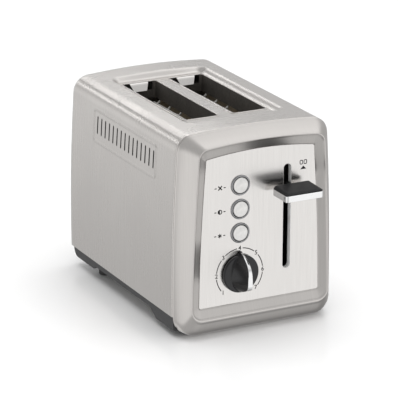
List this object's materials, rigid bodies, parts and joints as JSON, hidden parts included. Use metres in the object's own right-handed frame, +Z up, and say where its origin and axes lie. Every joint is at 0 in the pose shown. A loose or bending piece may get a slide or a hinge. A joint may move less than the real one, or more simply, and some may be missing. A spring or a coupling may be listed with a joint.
{
  "type": "pop up toaster",
  "caption": "Pop up toaster with brushed steel body, long bread slots, lift lever, browning knob, push buttons and a rear crumb tray.",
  "frame": {"origin": "on the table under the middle of the toaster's overall box", "axes": "+Z up, -Y towards the user who faces the control panel, +X to the right seen from the front"},
  "size_m": [0.1646, 0.278, 0.196],
  "materials": {
    "shell_steel": "fine vertical brush, satin",
    "panel_steel": "fine vertical brush, satin",
    "black_plastic": "fine moulded texture, satin",
    "rubber": "matte",
    "screw_steel": "zinc plated",
    "ivory_plastic": "matte",
    "lead_insulation": "braided sleeve, matte",
    "chassis_steel": "galvanised, slightly heat darkened",
    "mica": "layered mica sheet, speckled",
    "heating_alloy": "oxidised flat ribbon",
    "wire_steel": "drawn wire",
    "dark_steel": "blackened",
    "chrome": "polished",
    "magnet_copper": "enamelled winding",
    "circuit_board": "solder mask",
    "switch_plastic": "matte",
    "button_silver": "spun, satin"
  },
  "bodies": {
    "housing": {"body_wrap": "shell_steel", "front_bezel": "shell_steel", "control_panel": "panel_steel", "panel_backing": "black_plastic", "front_frame": "black_plastic", "rear_frame": "shell_steel", "rear_cover": "shell_steel", "base": "black_plastic", "bottom_plate": "chassis_steel", "rubber_feet": "rubber", "base_screws": "screw_steel", "rear_screws": "screw_steel", "chassis_screws": "screw_steel", "cord_gland": "black_plastic", "terminal_block": "ivory_plastic", "mains_leads": "lead_insulation", "chassis_front_plate": "chassis_steel", "chassis_rear_plate": "chassis_steel", "slot_liner_left": "chassis_steel", "slot_liner_right": "chassis_steel", "reflector_left": "chassis_steel", "reflector_right": "chassis_steel", "heater_board_left": "mica", "heater_board_centre": "mica", "heater_board_right": "mica", "heating_ribbon_left": "heating_alloy", "heating_ribbon_centre": "heating_alloy", "heating_ribbon_right": "heating_alloy", "guide_rod": "wire_steel", "lift_spring": "wire_steel", "electromagnet": "magnet_copper", "circuit_board": "circuit_board", "button_switches": "switch_plastic", "button_rings": "chrome", "timer_pot": "switch_plastic"},
    "carriage_body": {"carriage": "chassis_steel", "bread_lifter_left": "wire_steel", "bread_lifter_right": "wire_steel", "latch_plate": "chassis_steel", "lever_arm": "dark_steel", "lever_paddle": "black_plastic", "lever_trim": "chrome"},
    "guide_left_outer": {"bread_guide_left_outer": "wire_steel"},
    "guide_left_inner": {"bread_guide_left_inner": "wire_steel"},
    "guide_right_inner": {"bread_guide_right_inner": "wire_steel"},
    "guide_right_outer": {"bread_guide_right_outer": "wire_steel"},
    "timer_knob": {"knob": "black_plastic", "knob_shaft": "wire_steel", "knob_trim": "chrome"},
    "stop_button": {"button_stop": "button_silver"},
    "one_side_button": {"button_one_side": "button_silver"},
    "frozen_button": {"button_frozen": "button_silver"},
    "tray": {"crumb_tray": "chassis_steel", "crumb_tray_handle": "black_plastic"}
  },
  "joints": [
    {"name": "lever_slide", "type": "slide", "parent": "housing", "child": "carriage_body", "axis": [0, 0, 1], "range_m": [-0.078, 0.014], "stiffness_N_per_m": 150, "springref_m": 0.011, "deforming": ["lift_spring"]},
    {"name": "guide_left_outer_hinge", "type": "hinge", "parent": "housing", "child": "guide_left_outer", "pos_m": [-0.0409, 0.028, 0.036], "axis": [0, 1, 0], "range_deg": [-0.85, 4.52]},
    {"name": "guide_left_inner_hinge", "type": "hinge", "parent": "housing", "child": "guide_left_inner", "pos_m": [-0.0099, 0.028, 0.036], "axis": [0, 1, 0], "range_deg": [-4.52, 0.85]},
    {"name": "guide_right_inner_hinge", "type": "hinge", "parent": "housing", "child": "guide_right_inner", "pos_m": [0.0099, 0.028, 0.036], "axis": [0, 1, 0], "range_deg": [-0.85, 4.52]},
    {"name": "guide_right_outer_hinge", "type": "hinge", "parent": "housing", "child": "guide_right_outer", "pos_m": [0.0409, 0.028, 0.036], "axis": [0, 1, 0], "range_deg": [-4.52, 0.85]},
    {"name": "timer_knob_turn", "type": "hinge", "parent": "housing", "child": "timer_knob", "pos_m": [-0.0206, -0.105, 0.0591], "axis": [0, 1, 0], "range_deg": [-135, 135]},
    {"name": "stop_button_press", "type": "slide", "parent": "housing", "child": "stop_button", "axis": [0, 1, 0], "range_m": [0, 0.0025], "stiffness_N_per_m": 300},
    {"name": "one_side_button_press", "type": "slide", "parent": "housing", "child": "one_side_button", "axis": [0, 1, 0], "range_m": [0, 0.0025], "stiffness_N_per_m": 300},
    {"name": "frozen_button_press", "type": "slide", "parent": "housing", "child": "frozen_button", "axis": [0, 1, 0], "range_m": [0, 0.0025], "stiffness_N_per_m": 300},
    {"name": "crumb_tray_slide", "type": "slide", "parent": "housing", "child": "tray", "axis": [0, 1, 0], "range_m": [0, 0.19]}
  ],
  "couplings": [
    {"joint": "guide_left_outer_hinge", "follows": "lever_slide", "rad_per_m": -1},
    {"joint": "guide_left_inner_hinge", "follows": "lever_slide", "rad_per_m": 1},
    {"joint": "guide_right_inner_hinge", "follows": "lever_slide", "rad_per_m": -1},
    {"joint": "guide_right_outer_hinge", "follows": "lever_slide", "rad_per_m": 1}
  ]
}
